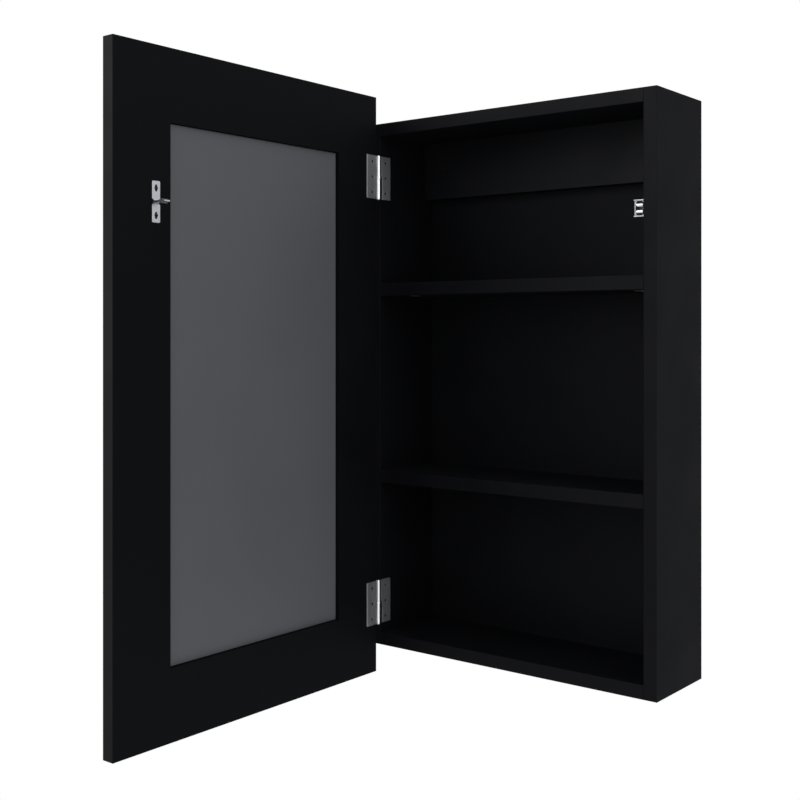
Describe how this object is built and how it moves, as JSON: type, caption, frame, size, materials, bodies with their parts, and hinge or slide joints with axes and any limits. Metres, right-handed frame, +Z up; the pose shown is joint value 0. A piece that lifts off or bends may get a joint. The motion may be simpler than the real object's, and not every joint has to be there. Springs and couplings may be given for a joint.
{
  "type": "mirrored medicine cabinet",
  "caption": "Wall-hung medicine cabinet of black laminated board with shelves, a mirrored door on butt hinges and a roller catch, shown with the door open.",
  "frame": {"origin": "midway between the two wall screw holes, on the cabinet's back face", "axes": "+X to the right seen from the front, +Y into the wall, +Z up; the front faces -Y"},
  "size_m": [0.38, 0.507, 0.692],
  "materials": {
    "laminated_board": "matte black melamine",
    "edge_band": "satin black",
    "back_sheet": "black hardboard",
    "beech": "fluted beech",
    "bright_steel": "bright zinc",
    "hinge_steel": "satin nickel",
    "screw_steel": "zinc",
    "spring_steel": "tempered",
    "cast_zinc": "cast zinc",
    "mirror_glass": "silvered glass",
    "grey_backing": "grey paint",
    "foam_tape": "foam"
  },
  "bodies": {
    "cabinet": {"left_side_panel": "laminated_board", "right_side_panel": "laminated_board", "top_panel": "laminated_board", "bottom_panel": "laminated_board", "upper_shelf": "laminated_board", "lower_shelf": "laminated_board", "hanging_rail": "laminated_board", "carcass_edge_bands": "edge_band", "back_panel": "back_sheet", "back_panel_nails": "bright_steel", "wood_dowels": "beech", "cam_bolts": "bright_steel", "cam_nuts": "cast_zinc", "upper_hinge_frame_leaf": "hinge_steel", "upper_hinge_pin": "bright_steel", "lower_hinge_frame_leaf": "hinge_steel", "lower_hinge_pin": "bright_steel", "frame_hinge_screws": "screw_steel", "catch_housing": "hinge_steel", "catch_screws": "screw_steel", "upper_catch_spring": "spring_steel", "lower_catch_spring": "spring_steel"},
    "upper_roller_carrier": {"upper_roller_pin": "bright_steel"},
    "upper_roller": {"upper_catch_roller": "bright_steel"},
    "lower_roller_carrier": {"lower_roller_pin": "bright_steel"},
    "lower_roller": {"lower_catch_roller": "bright_steel"},
    "door": {"door_panel": "laminated_board", "door_edge_bands": "edge_band", "mirror": "mirror_glass", "mirror_backing": "grey_backing", "mirror_tape": "foam_tape", "upper_hinge_door_leaf": "hinge_steel", "lower_hinge_door_leaf": "hinge_steel", "door_hinge_screws": "screw_steel", "striker": "hinge_steel", "striker_screws": "screw_steel"}
  },
  "joints": [
    {"name": "door_swing", "type": "hinge", "parent": "cabinet", "child": "door", "pos_m": [-0.1744, -0.1115, 0], "axis": [0, 0, 1], "range_deg": [-18, 90]},
    {"name": "upper_roller_slide", "type": "slide", "parent": "cabinet", "child": "upper_roller_carrier", "axis": [0, 0, 1], "range_m": [0, 0.0013], "stiffness_N_per_m": 400, "springref_m": -0.001, "deforming": ["upper_catch_spring"]},
    {"name": "upper_roller_spin", "type": "hinge", "parent": "upper_roller_carrier", "child": "upper_roller", "pos_m": [0.1693, -0.1035, -0.0705], "axis": [1, 0, 0], "continuous": true},
    {"name": "lower_roller_slide", "type": "slide", "parent": "cabinet", "child": "lower_roller_carrier", "axis": [0, 0, -1], "range_m": [0, 0.0013], "stiffness_N_per_m": 400, "springref_m": -0.001, "deforming": ["lower_catch_spring"]},
    {"name": "lower_roller_spin", "type": "hinge", "parent": "lower_roller_carrier", "child": "lower_roller", "pos_m": [0.1693, -0.1035, -0.0775], "axis": [1, 0, 0], "continuous": true}
  ]
}
